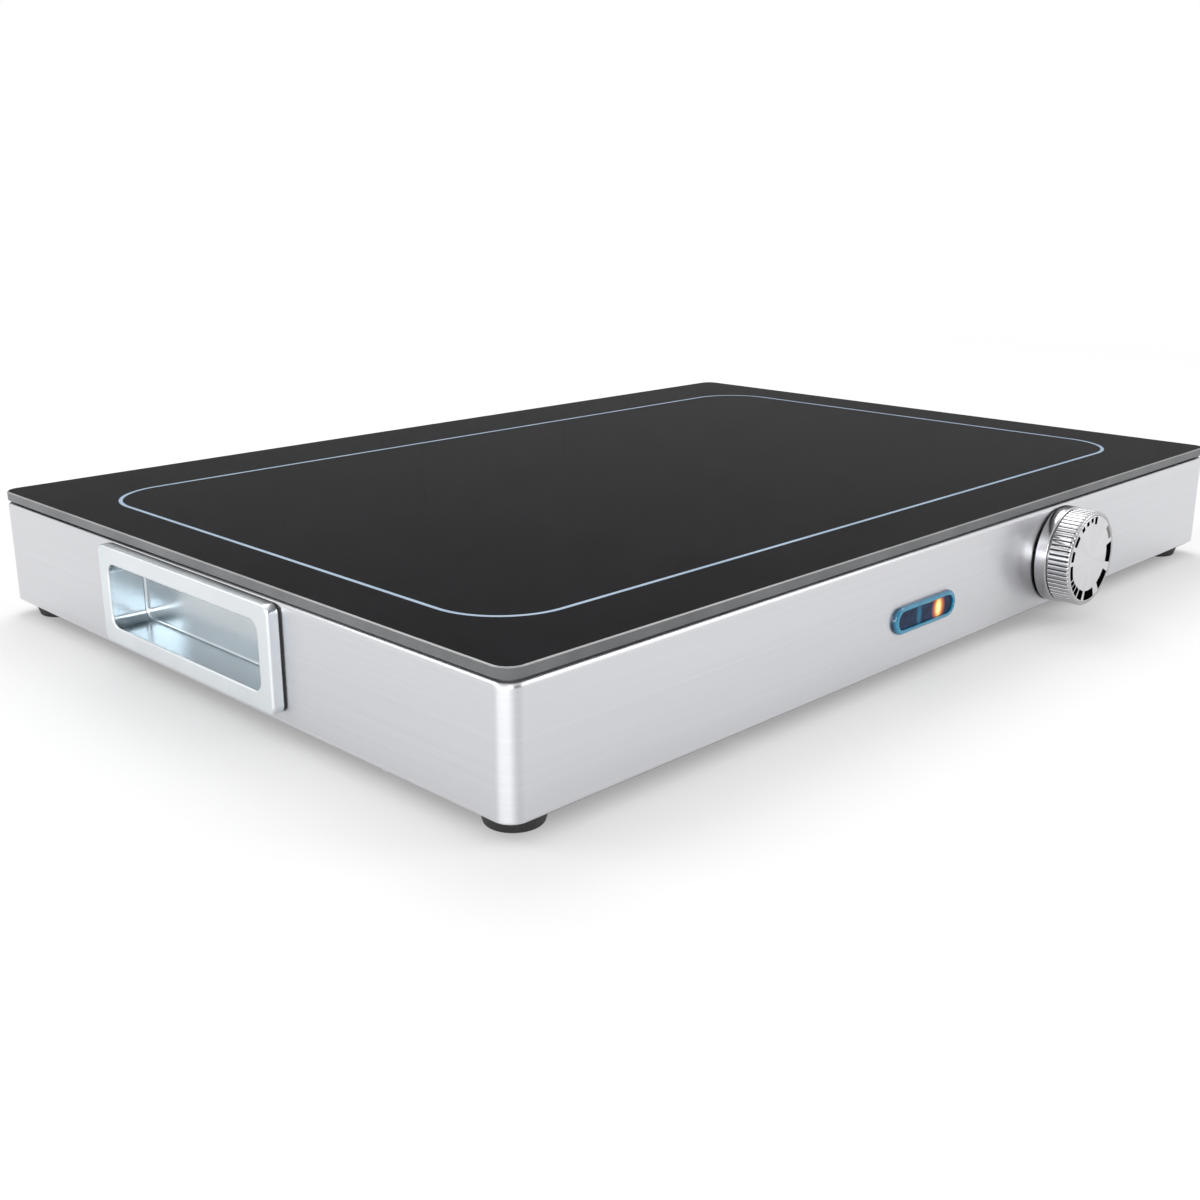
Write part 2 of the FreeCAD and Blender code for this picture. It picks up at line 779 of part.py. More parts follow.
def bulb_clips():
    """Saddles under the bulb, their ears on the underside of the spreader plate."""
    end = bulb_end()
    low = bulb_up() - bulb_radius - clip_thick / 2 - seat_gap
    side = bulb_radius + clip_thick / 2 + seat_gap
    ear = side + clip_ear
    top = spreader_bottom - clip_thick / 2
    line = [(-ear, top), (-side, top), (-side, low), (side, low), (side, top), (ear, top)]
    clip = strip(line, clip_thick, clip_width)
    clip.rotate(ORIGIN, Z_AXIS, 90)
    return [moved(clip, end.x - bulb_length * share, end.y) for share in clip_shares]


def thermal_cutout():
    x, y = cutout_place
    body = prism(cutout_radius, cutout_height, z=shield_bottom - cutout_height, sides=cutout_sides)
    ears = plate(ear_length, ear_width, ear_thick, shield_bottom - ear_thick)
    return moved(body.fuse(ears), x, y)


def inlet_body():
    """Appliance inlet, facing +Z, with its flange on the outside of the wall."""
    flange = block(flange_length, flange_height, flange_thick, flange_corner, 0)
    flange = flange.makeChamfer(flange_edge, rim(flange, flange_thick))
    body = flange.fuse(inlet_shape(0, inlet_back, -inlet_back))
    cavity = inlet_shape(-inlet_wall, inlet_back + inlet_floor, inlet_depth + inlet_floor)
    body = body.cut(cavity)
    for s in (-1, 1):
        body = body.cut(prism(M3[0] + screw_clearance, 4 * flange_thick, s * inlet_pitch / 2, 0, -flange_thick))
    for blade in inlet_pins():
        body = body.cut(blade)
    return body


def inlet_pins():
    x, y, reach = blade_size
    foot_z = inlet_back + inlet_floor
    places = [(-blade_spread, -blade_shift), (0, blade_shift), (blade_spread, -blade_shift)]
    low = inlet_back - blade_tail
    height = foot_z + reach - blade_sunk - low
    return [Part.makeBox(x, y, height, V(a - x / 2, b - y / 2, low)) for a, b in places]


def inlet_screw():
    return screw(M3, wall + flange_thick + nut_height + screw_end, flange_thick)


def terminal_block():
    x, y = block_place
    body = plate(*block_size, panel_top)
    for i in range(block_ways):
        lane = (i - (block_ways - 1) / 2) * block_pitch
        bore = prism(block_bore, 2 * block_size[1], z=-block_size[1])
        bore.rotate(ORIGIN, X_AXIS, 90)
        body = body.cut(moved(bore, lane, 0, panel_top + block_bore_up))
    return moved(body, x, y)


def earth_stud():
    x, y = earth_place
    return moved(flipped(screw(M3, earth_height)), x, y, base_level + panel_rise)


def earth_nut():
    return moved(nut(M3, panel_top), *earth_place)


def export(name, shapes):
    """Write one sub-part, shifted so that the origin is the centre of the whole footprint."""
    solids = shapes if isinstance(shapes, list) else [shapes]
    solids = [moved(s, 0, housing_centre_y) for s in solids]
    shape = solids[0] if len(solids) == 1 else Part.makeCompound(solids)
    if not shape.isValid():
        print(name, "is not a valid shape")
    shape.exportStep(os.path.join("parts", name + ".step"))


def at(shape, places):
    return [moved(shape, x, y) for x, y in places]


def on_front(shapes, along, up):
    solids = shapes if isinstance(shapes, list) else [shapes]
    return [on_wall(s, "front", along, up) for s in solids]


def build():
    os.makedirs("parts", exist_ok=True)
    export("glass_plate", glass_plate())
    export("glass_seal", glass_seal())
    export("housing_shell", housing_shell())
    export("base_plate", base_plate())
    foot_places = corners(foot_inset, foot_inset)
    export("feet", at(foot(), foot_places))
    export("foot_screws", at(foot_screw(), foot_places))
    export("foot_nuts", at(nut(M4, housing_bottom), foot_places))
    export("base_screws", at(base_screw(), base_screw_places()))

    screws = []
    for side, along in HANDLES.items():
        export("handle_cup_" + side, on_wall(handle_cup(), side, along, handle_up))
        export("handle_gasket_" + side, on_wall(handle_gasket(), side, along, handle_up))
        export("handle_strap_" + side, on_wall(handle_strap(), side, along, handle_up))
        for s in (-1, 1):
            screws.append(on_wall(handle_screw(), side, along + s * boss_spacing / 2, handle_up))
    export("handle_screws", screws)

    for name, make in (("knob_body", knob_body), ("knob_face", knob_face), ("knob_hub", knob_hub),
                       ("thermostat_shaft", thermostat_shaft), ("thermostat_frame", thermostat_frame),
                       ("thermostat_switch", thermostat_switch), ("thermostat_tabs", thermostat_tabs)):
        export(name, on_front(make(), knob_x, knob_up))
    heads = at(thermostat_screw(), [(-mount_pitch / 2, 0), (mount_pitch / 2, 0)])
    export("thermostat_screws", on_front(heads, knob_x, knob_up))

    export("indicator_bezel", on_front(indicator_bezel(), light_x, light_up))
    export("indicator_window", on_front(indicator_window(), light_x, light_up))
    export("indicator_body", on_front(indicator_body(), light_x, light_up))
    export("lamp_amber", on_front(moved(lamp(), amber_offset), light_x, light_up))
    export("lamp_blue", on_front(moved(lamp(), blue_offset), light_x, light_up))

    export("heat_spreader", moved(heat_spreader(), 0, zone_offset))
    export("heating_element", heating_element())
    export("element_tails", element_tails())
    export("mica_upper", mica_sheet(mica_upper_thick, ribbon_top))
    export("mica_lower", mica_sheet(mica_lower_thick, mica_lower_top - mica_lower_thick))
    export("insulation_mat", insulation_mat())
    export("heat_shield", heat_shield())
    export("cross_bars", cross_bars())
    export("sensing_bulb", sensing_bulb())
    export("capillary_tube", capillary_tube())
    export("bulb_clips", bulb_clips())
    export("thermal_cutout", thermal_cutout())

    export("inlet_body", on_wall(inlet_body(), "rear", -inlet_x, inlet_up))
    export("inlet_pins", [on_wall(s, "rear", -inlet_x, inlet_up) for s in inlet_pins()])
    inlet_places = [(-inlet_pitch / 2, 0), (inlet_pitch / 2, 0)]
    export("inlet_screws", [on_wall(s, "rear", -inlet_x, inlet_up) for s in at(inlet_screw(), inlet_places)])
    nuts = at(nut(M3, -wall - nut_height), inlet_places)
    export("inlet_nuts", [on_wall(s, "rear", -inlet_x, inlet_up) for s in nuts])
    export("terminal_block", terminal_block())
    export("earth_stud", earth_stud())
    export("earth_nut", earth_nut())


build()
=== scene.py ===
import math

import bpy
from mathutils import Matrix, Vector


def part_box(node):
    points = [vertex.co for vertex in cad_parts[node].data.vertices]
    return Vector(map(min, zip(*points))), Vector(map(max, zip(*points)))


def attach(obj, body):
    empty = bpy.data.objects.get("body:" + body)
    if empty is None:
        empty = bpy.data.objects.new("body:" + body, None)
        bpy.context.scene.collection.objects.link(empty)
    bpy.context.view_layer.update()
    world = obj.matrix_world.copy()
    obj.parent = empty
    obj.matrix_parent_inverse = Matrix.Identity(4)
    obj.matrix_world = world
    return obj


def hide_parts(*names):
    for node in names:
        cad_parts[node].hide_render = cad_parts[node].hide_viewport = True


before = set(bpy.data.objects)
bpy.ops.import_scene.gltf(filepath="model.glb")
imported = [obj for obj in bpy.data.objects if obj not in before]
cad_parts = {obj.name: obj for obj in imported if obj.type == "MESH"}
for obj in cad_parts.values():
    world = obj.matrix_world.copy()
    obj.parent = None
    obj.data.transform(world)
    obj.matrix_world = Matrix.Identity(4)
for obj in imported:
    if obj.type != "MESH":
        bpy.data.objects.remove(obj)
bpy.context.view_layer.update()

# Electric warming tray. Sizes are millimetres and become metres through MM, apart from the stage's.
MM = 0.001
CORNER_STEPS = 14
CIRCLE_STEPS = 24
SHARP_ANGLE = 32

# Straight part left at a full round end, so that no two points meet
END_GAP = 0.01

# Pieces on the outside of a wall stand this far off it, so that no two faces share a plane
SEAT_GAP = 0.02

# Housing
WALL = 1.0
CORNER = 8.0
TOP_BEND = 2.4
BOTTOM_BEND = 0.9
TOP_LIP = 12.0
BOTTOM_LIP = 11.0
LIP_CORNER = 3.0
CUTTER_REACH = 4 * WALL

# Glass, its edges as inset from the side, then height above the underside or drop below the top
GLASS_LOW_ROUND = ((0.35, 0), (0.105, 0.105), (0, 0.35))
GLASS_CHAMFER = ((0, 0.6), (0.06, 0.48), (0.44, 0.06), (0.66, 0))
PRINT_THICK = 0.04

# Printed zone on the glass, from the housing's centre
ZONE_LENGTH = 500.0
ZONE_DEPTH = 307.5
ZONE_X = -3.5
ZONE_Y = -6.2
ZONE_CORNER = 34.0
ZONE_LINE = 1.9
ZONE_STEPS = 24

# Handles
FRAME_THICK = 5.0
FRAME_CORNER = 4.0
FRAME_EDGE = 1.3
GASKET = 1.0
GASKET_INSET = 0.25
GASKET_CORNER = 3.8
CUP_LENGTH = 125.0
CUP_HEIGHT = 30.0
CUP_CORNER = 5.0
CUP_DEPTH = 18.0
CUP_WALL = 1.6
CUP_FLOOR_ROUND = 1.5
CUP_MOUTH_ROUND = 0.8
CUP_CLEARANCE = 0.6

# Share of an inset by which the corner's radius shrinks
CUP_FLOOR_SHRINK = 0.9
FRAME_SHRINK = 0.8

# Knob
KNOB_GAP = 0.8
KNOB_TOP = 19.0
KNOB_BORE = 20.9
KNOB_BORE_DEPTH = 6.0
KNOB_SHARP_ANGLE = 40
SKIRT_RADIUS = 24.9
SKIRT_TOP = 7.0
DRUM_RADIUS = 24.3
DRUM_NECK = 1.0
DRUM_START = 0.5
RIB_COUNT = 60
RIB_STEPS = 12
RIB_DEPTH = 0.9
RIB_NOTCH = 1.7
RIB_SHAPE = 6.0
DIAL_RADIUS = 22.4
DIAL_THICK = 0.8
DIAL_GAP = 0.1
DIAL_EDGE = 0.12
DIAL_STEPS = 40
INK = 0.05
SHAFT_HOLE = 5.4

# Edges of the knob: inset from the radius, then distance from the face that the edge starts at
SKIRT_BACK = ((0.5, 0), (0.1, 0.2), (0, 0.6))
SKIRT_FRONT = ((0, 0.9), (0.12, 0.45), (0.45, 0.12), (0.9, 0))
RIB_START = ((0.35, DRUM_START), (0, 0.85))
DIAL_RIM = ((-0.25, 0), (-0.04, 0.1), (0, DIAL_THICK))

# Front edge of the drum: inset, drop below the knob's front, and depth of the ribs there
DRUM_FRONT = ((0, 2.1, RIB_DEPTH), (0, 1.9, RIB_NOTCH), (0.05, 1.1, RIB_NOTCH),
              (0.15, 0.9, 0.4 * RIB_DEPTH), (0.4, 0.35, 0.3 * RIB_DEPTH), (0.9, 0.05, 0))

# Heat ramp: middle angle from the top, turning left, then half span in degrees and width across the ring
RAMP_OUTER = 21.7
RAMP_STEP = 3
RAMP_MARKS = ((-4.5, 3.4, 3.8), (7.5, 3, 2.2), (20, 3.3, 2.3), (33.5, 3.8, 2.4), (55, 8, 2.5), (77, 7.5, 2.6),
              (101.5, 11, 2.6), (118, 3.4, 3.0), (127, 3.8, 3.6), (138, 5, 4.2), (154, 7.5, 4.8),
              (183, 14, 5.0), (227, 15, 5.0), (270, 15, 5.0))
RAMP_END = (303, 11, 2.4)

# Pilot light
BEZEL_LENGTH = 50.6
BEZEL_HEIGHT = 13.4
BEZEL_PROUD = 2.2
BEZEL_ROUND = 1.7
WINDOW_LENGTH = 44.8
WINDOW_HEIGHT = 8.6
WINDOW_SUNK = 0.9
WINDOW_THICK = 1.4
NECK_LENGTH = 48.6
NECK_HEIGHT = 11.4
NECK_CLEARANCE = 0.8
AMBER_X = 10.9
BLUE_X = -5.1

# What the lip round the window adds to its size, what the lens's edge takes off it, and the drop of each
WINDOW_LIP = ((0.9, 0), (0.3, 0.2))
LENS_EDGE = ((0.2, WINDOW_THICK), (0.2, 0.35), (0.4, 0.1), (0.9, 0))

# Painted glows of the lamps on the lens: middle along it, half width, half height, and the colours from the
# rim inwards
LENS_GLOWS = ((AMBER_X, 5.8, 7.4, ((0.35, (0.30, 0.04, 0.002)), (1.0, (1.0, 0.36, 0.04)))),
              (AMBER_X, 3.0, 5.4, ((0.4, (0.3, 0.26, 0.05)), (0.9, (0.6, 0.72, 0.36)))),
              (BLUE_X, 2.6, 7.0, ((0.3, (0.003, 0.03, 0.06)), (1.0, (0.01, 0.13, 0.20)))))

# Blue tint of the bezel from the wall to its crest, with painted shade near the wall and a painted highlight
# at the crest
BEZEL_TINT_AND_SHADE = ((0.0, (0.0, 0.015, 0.04)), (0.4, (0.001, 0.07, 0.15)), (0.8, (0.002, 0.15, 0.27)),
              (1.0, (0.004, 0.21, 0.35)))

# Appliance socket in the rear wall
SOCKET_LENGTH = 28.6
SOCKET_HEIGHT = 20.6
SOCKET_CORNER = 1.0

# Feet; the sole's and the flange's edges are inset from the radius, then height or drop below the foot's top
FOOT_TOP = 13.0
FOOT_BOTTOM = 11.5
FOOT_DROP = 1.0
FOOT_RECESS = 5.0
FOOT_RECESS_DEPTH = 3.6
FOOT_RECESS_EDGE = 0.3
FOOT_INSET = 17.5
FOOT_STEPS = 12
FOOT_SOLE = ((1.2, 0), (0.5, 0.18), (0.1, 0.6), (-0.05, 1.2))
FOOT_FLANGE = ((0.2, 1.6), (0, 1.2), (0, 0.3), (0.3, 0))

# Camera, fitted to the object's outlines; the place is from the housing's centre and its bottom edge
CAMERA_X = -566.5
CAMERA_Y = -523.2
CAMERA_UP = 213.2
CAMERA_YAW = 0.78956
CAMERA_PITCH = 0.29403
CAMERA_LENS = 42.1

# Stage, in metres
FLOOR_REACH = 30.0
FLOOR_NEAR = 0.75
FLOOR_FAR = 1.5
FLOOR_LIFT = 0.28
FLOOR_TONE = 0.80
ROOM_TONE = 0.75
STAGE_ROUGHNESS = 0.9

# Dark cards that the glass and the corner mirror, spanned in degrees round the Z axis from +X
CARD_SPANS = ((10, 100), (-112, -80))
CARD_DISTANCE = 2.5
CARD_HEIGHT = 1.7
CARD_TONE = 0.12
CARD_STEPS = 12

# Area lights: name, place, aim and size in metres, and power in watts
LIGHTS = (("main", (0.7, 0.9, 1.7), (0, 0, 0), (1.4, 1.4), 21),
          ("left_box", (-1.3, 1.1, 1.4), (0, 0, 0.04), (1.2, 0.8), 9),
          ("right_box", (1.3, -1.4, 1.3), (0.1, 0, 0.04), (1.2, 0.8), 9),
          ("corner_box", (-1.83, -0.62, 0.16), (-0.28, -0.2, 0.04), (1.9, 0.28), 12),
          ("recess_light", (-0.97, -1.1, 0.49), (-0.28, 0, 0.04), (0.4, 0.4), 3.5))

# CAD nodes that show as they are, by the material that they wear
NODES_BY_MATERIAL = {
    "joint": ("glass_seal",),
    "base": ("base_plate",),
    "zinc": ("foot_screws", "foot_nuts", "base_screws", "handle_screws", "thermostat_screws", "inlet_screws",
             "inlet_nuts", "earth_stud", "earth_nut"),
    "galvanised": ("handle_strap_left", "handle_strap_right", "thermostat_frame", "heat_shield", "cross_bars",
                   "bulb_clips"),
    "plastic": ("knob_hub", "thermostat_switch", "indicator_body", "inlet_body"),
    "brass": ("thermostat_shaft", "thermostat_tabs", "element_tails", "inlet_pins"),
    "copper": ("sensing_bulb", "capillary_tube"),
    "aluminium": ("heat_spreader",),
    "ribbon": ("heating_element",),
    "amber": ("lamp_amber",),
    "blue_lamp": ("lamp_blue",),
    "mica": ("mica_upper", "mica_lower"),
    "wool": ("insulation_mat",),
    "ceramic": ("thermal_cutout", "terminal_block"),
}

house_low, house_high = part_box("housing_shell")
glass_low, glass_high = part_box("glass_plate")
centre = (house_low + house_high) / 2
LENGTH = (house_high.x - house_low.x) / MM
DEPTH = (house_high.y - house_low.y) / MM
HOUSE_LOW = house_low.z / MM
HOUSE_TOP = house_high.z / MM
GLASS_LOW = glass_low.z / MM
GLASS_TOP = glass_high.z / MM
WALL_TURN = {"front": 0, "right": 90, "rear": 180, "left": -90}


# Mesh helpers: most forms are a stack of loops with the same number of points

def loop(length, breadth, radius, z, steps=CORNER_STEPS):
    """Points of a rounded rectangle round the Z axis, counterclockwise."""
    points = []
    for i, (sx, sy) in enumerate(((1, 1), (-1, 1), (-1, -1), (1, -1))):
        cx, cy = sx * (length / 2 - radius), sy * (breadth / 2 - radius)
        for k in range(steps + 1):
            a = math.pi / 2 * (i + k / steps)
            points.append((cx + radius * math.cos(a), cy + radius * math.sin(a), z))
    return points


def round_ended(length, breadth, z):
    """Loop whose two ends are half circles."""
    return loop(length, breadth, breadth / 2 - END_GAP, z)


def circle(radius, z, steps=CIRCLE_STEPS):
    return loop(2 * radius, 2 * radius, radius, z, steps)


def arc(start, end, count, rise_first=True):
    """Quarter round from one point of inset and height to another; it starts by changing height or inset."""
    (a, b), (c, d) = start, end
    points = []
    for i in range(count + 1):
        t = math.pi / 2 * i / count
        across, along = (1 - math.cos(t), math.sin(t)) if rise_first else (math.sin(t), 1 - math.cos(t))
        points.append((a + (c - a) * across, b + (d - b) * along))
    return points


def mesh_piece(name, points, faces, materials, slots, sharp=SHARP_ANGLE):
    """New object from millimetre points; slots gives each face its material."""
    mesh = bpy.data.meshes.new(name)
    mesh.from_pydata([Vector(p) * MM for p in points], [], faces)
    for material in materials:
        mesh.materials.append(material)
    mesh.polygons.foreach_set("material_index", slots)
    piece = bpy.data.objects.new(name, mesh)
    bpy.context.scene.collection.objects.link(piece)
    finish_normals(piece, sharp)
    return piece


def finish_normals(piece, sharp):
    """Smooth shading, broken where two faces meet at more than the sharp angle in degrees."""
    mesh = piece.data
    mesh.validate()
    mesh.polygons.foreach_set("use_smooth", [True] * len(mesh.polygons))
    mesh.set_sharp_from_angle(angle=math.radians(sharp))
    weighted = piece.modifiers.new("normals", "WEIGHTED_NORMAL")
    weighted.keep_sharp = True
    weighted.weight = 100


def skin(name, loops, materials, ring=False, slot_of=None, sharp=SHARP_ANGLE, first_slot=0):
    """Faces between the loops in turn; a ring joins the last loop to the first, other forms get end faces."""
    n = len(loops[0])
    points = [p for one in loops for p in one]
    faces, slots = [], []
    pairs = len(loops) if ring else len(loops) - 1
    for i in range(pairs):
        j = (i + 1) % len(loops)
        for k in range(n):
            m = (k + 1) % n
            faces.append((i * n + k, i * n + m, j * n + m, j * n + k))
            slots.append(slot_of(i, k) if slot_of else 0)
    if not ring:
        faces.append(tuple(reversed(range(n))))
        slots.append(first_slot)
        faces.append(tuple(range((len(loops) - 1) * n, len(loops) * n)))
        slots.append(0)
    return mesh_piece(name, points, faces, materials, slots, sharp)


def cut(piece, cutters):
    """Takes the cutters out of the piece and deletes them."""
    piece.modifiers.clear()
    for cutter in cutters:
        modifier = piece.modifiers.new("hole", "BOOLEAN")
        modifier.object = cutter
        modifier.solver = "EXACT"
    graph = bpy.context.evaluated_depsgraph_get()
    piece.data = bpy.data.meshes.new_from_object(piece.evaluated_get(graph))
    piece.modifiers.clear()
    for cutter in cutters:
        bpy.data.objects.remove(cutter)
    finish_normals(piece, SHARP_ANGLE)


def wall_matrix(side, node):
    """Turns a piece built facing +Z so that it faces out of the wall, at the middle of a CAD node's box."""
    low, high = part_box(node)
    place = (low + high) / 2
    if side in ("front", "rear"):
        place.y = house_low.y if side == "front" else house_high.y
    else:
        place.x = house_low.x if side == "left" else house_high.x
    turn = Matrix.Rotation(math.radians(WALL_TURN[side]), 4, "Z")
    return Matrix.Translation(place) @ turn @ Matrix.Rotation(math.pi / 2, 4, "X")


def from_centre(x=0, y=0):
    """Place on the floor, in millimetres from the housing's centre."""
    return Matrix.Translation((centre.x + x * MM, centre.y + y * MM, 0))


def settle(piece, matrix, body, slot, *nodes):
    """Places the piece, ties it to its body and hides the CAD nodes that it stands for."""
    piece.matrix_world = matrix
    bpy.context.view_layer.update()
    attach(piece, body)
    if nodes:
        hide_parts(*nodes)


# Materials

def even(value):
    """Three equal numbers: a grey, or a scale that is the same along each axis."""
    return (value, value, value)


class Nodes:
    """Short way to add and link the shader nodes of one material."""

    def __init__(self, name):
        self.material = bpy.data.materials.new(name)
        self.material.use_nodes = True
        self.tree = self.material.node_tree
        self.shader = self.tree.nodes["Principled BSDF"]
        self.place = self.add("ShaderNodeTexCoord").outputs["Object"]

    def add(self, kind, **values):
        node = self.tree.nodes.new(kind)
        for key, value in values.items():
            setattr(node, key, value)
        return node

    def link(self, a, b):
        self.tree.links.new(a, b)

    def set(self, **values):
        for key, value in values.items():
            self.shader.inputs[key.replace("_", " ")].default_value = value

    def axes(self):
        """The place on the object as X, Y and Z."""
        parts = self.add("ShaderNodeSeparateXYZ")
        self.link(self.place, parts.inputs[0])
        return parts.outputs

    def maths(self, operation, *values):
        """One operation on sockets and plain numbers."""
        node = self.add("ShaderNodeMath", operation=operation)
        for slot, value in zip(node.inputs, values):
            if isinstance(value, float):
                slot.default_value = value
            else:
                self.link(value, slot)
        return node.outputs[0]

    def stretched(self, scale, detail=3.0, rough=0.6):
        """Noise squeezed or stretched along the axes."""
        mapping = self.add("ShaderNodeMapping")
        mapping.inputs["Scale"].default_value = scale
        self.link(self.place, mapping.inputs["Vector"])
        noise = self.add("ShaderNodeTexNoise")
        noise.inputs["Scale"].default_value = 1.0
        noise.inputs["Detail"].default_value = detail
        noise.inputs["Roughness"].default_value = rough
        self.link(mapping.outputs["Vector"], noise.inputs["Vector"])
        return noise.outputs["Fac"]

    def noise_along(self, value, scale):
        """Noise that changes with one value only."""
        noise = self.add("ShaderNodeTexNoise", noise_dimensions="1D")
        noise.inputs["Scale"].default_value = scale
        self.link(value, noise.inputs["W"])
        return noise.outputs["Fac"]

    def ramp(self, value, *stops):
        node = self.add("ShaderNodeValToRGB")
        for i, (at, colour) in enumerate(stops):
            element = node.color_ramp.elements[i] if i < 2 else node.color_ramp.elements.new(at)
            element.position = at
            element.color = (*colour, 1)
        self.link(value, node.inputs["Fac"])
        return node.outputs["Color"]

    def span(self, value, low, high, from_low=0.3, from_high=0.7):
        """Maps a value from one range to another."""
        node = self.add("ShaderNodeMapRange")
        limits = {"From Min": from_low, "From Max": from_high, "To Min": low, "To Max": high}
        for key, number in limits.items():
            node.inputs[key].default_value = number
        self.link(value, node.inputs["Value"])
        return node.outputs["Result"]

    def bump(self, height, distance):
        node = self.add("ShaderNodeBump")
        node.inputs["Distance"].default_value = distance
        node.inputs["Strength"].default_value = 1.0
        self.link(height, node.inputs["Height"])
        self.link(node.outputs["Normal"], self.shader.inputs["Normal"])

    def colour(self, socket):
        self.link(socket, self.shader.inputs["Base Color"])

    def roughness(self, socket):
        self.link(socket, self.shader.inputs["Roughness"])


def metal(name, dark, light, scale, rough, bump=0.00002, anisotropic=0.0):
    """Metal whose grain follows the scale: a small number along the grain and a large one across it."""
    n = Nodes(name)
    grain = n.stretched(scale, 4.0, 0.65)
    cloud = n.stretched(even(9), 2.0)
    n.colour(n.ramp(grain, (0.3, dark), (0.7, light)))
    n.roughness(n.maths("ADD", n.span(grain, *rough), n.span(cloud, -0.02, 0.03)))
    if bump:
        n.bump(grain, bump)
    n.set(Metallic=1.0, Anisotropic=anisotropic, Anisotropic_Rotation=0.25)
    return n.material


def moulded(name, dark, light, rough, grain=900, bump=0.00003, **values):
    """Moulded or coated surface with a fine even grain."""
    n = Nodes(name)
    fine = n.stretched(even(grain))
    cloud = n.stretched(even(35), 2.0)
    n.colour(n.ramp(cloud, (0.3, dark), (0.7, light)))
    n.roughness(n.span(fine, *rough))
    if bump:
        n.bump(fine, bump)
    n.set(**values)
    return n.material


def dial_material():
    """Spun disc: the grain runs in circles, and the tone that changes round the disc is painted sheen, the
    light sectors of a spun face.
    """
    n = Nodes("spun_dial")
    length = n.add("ShaderNodeVectorMath", operation="LENGTH")
    n.link(n.place, length.inputs[0])
    rings = n.noise_along(length.outputs["Value"], 5200.0)
    axes = n.axes()
    # Painted sheen: lighter and darker sectors round the disc.
    sheen_sectors = n.noise_along(n.maths("ARCTAN2", axes["Y"], axes["X"]), 2.2)
    n.colour(n.ramp(sheen_sectors, (0.3, (0.64, 0.64, 0.66)), (0.7, (0.70, 0.70, 0.72))))
    n.roughness(n.span(rings, 0.29, 0.38))
    n.bump(rings, 0.00001)
    n.set(Metallic=1.0)
    return n.material


def lens_material():
    """Dark lens with the painted glow of the amber lamp and the faint painted glow of the blue one, both
    given off by the lens itself.
    """
    n = Nodes("dark_lens")
    axes = n.axes()
    glows = []
    for x, wide, tall, colours in LENS_GLOWS:
        across = n.maths("DIVIDE", n.maths("SUBTRACT", axes["X"], x * MM), wide * MM)
        along = n.maths("DIVIDE", axes["Y"], tall * MM)
        squares = [n.maths("POWER", share, 2.0) for share in (across, along)]
        inside = n.span(n.maths("ADD", *squares), 1.0, 0.0, 0.0, 1.0)
        glows.append(n.ramp(inside, (0.0, even(0)), *colours))
    total = glows[0]
    for glow in glows[1:]:
        both = n.add("ShaderNodeVectorMath", operation="ADD")
        n.link(total, both.inputs[0])
        n.link(glow, both.inputs[1])
        total = both.outputs[0]
    # The lens gives off the lamps' light itself: painted glow.
    n.link(total, n.shader.inputs["Emission Color"])
    cloud = n.stretched(even(260), 1.0)
    n.colour(n.ramp(cloud, (0.3, (0.001, 0.006, 0.030)), (0.7, (0.002, 0.022, 0.075))))
    n.roughness(n.span(cloud, 0.10, 0.16))
    n.set(Emission_Strength=1.0, Specular_IOR_Level=0.15)
    return n.material


def bezel_material():
    """Tinted clear moulding with painted light: a pale painted highlight at its crest, dark painted shade
    where it meets the wall, and a faint painted glow in the same colours.
    """
    n = Nodes("blue_bezel")
    height = n.span(n.axes()["Z"], 0.0, 1.0, 0.0, BEZEL_PROUD * MM)
    cloud = n.stretched(even(300), 2.0)
    tint_and_shade = n.ramp(n.maths("ADD", height, n.span(cloud, -0.12, 0.12)), *BEZEL_TINT_AND_SHADE)
    n.colour(tint_and_shade)
    n.roughness(n.span(cloud, 0.06, 0.12))
    # Painted glow: the bezel gives off a little light in its own colours.
    n.link(tint_and_shade, n.shader.inputs["Emission Color"])
    n.set(Emission_Strength=0.05, Coat_Weight=0.6, Coat_Roughness=0.05)
    return n.material


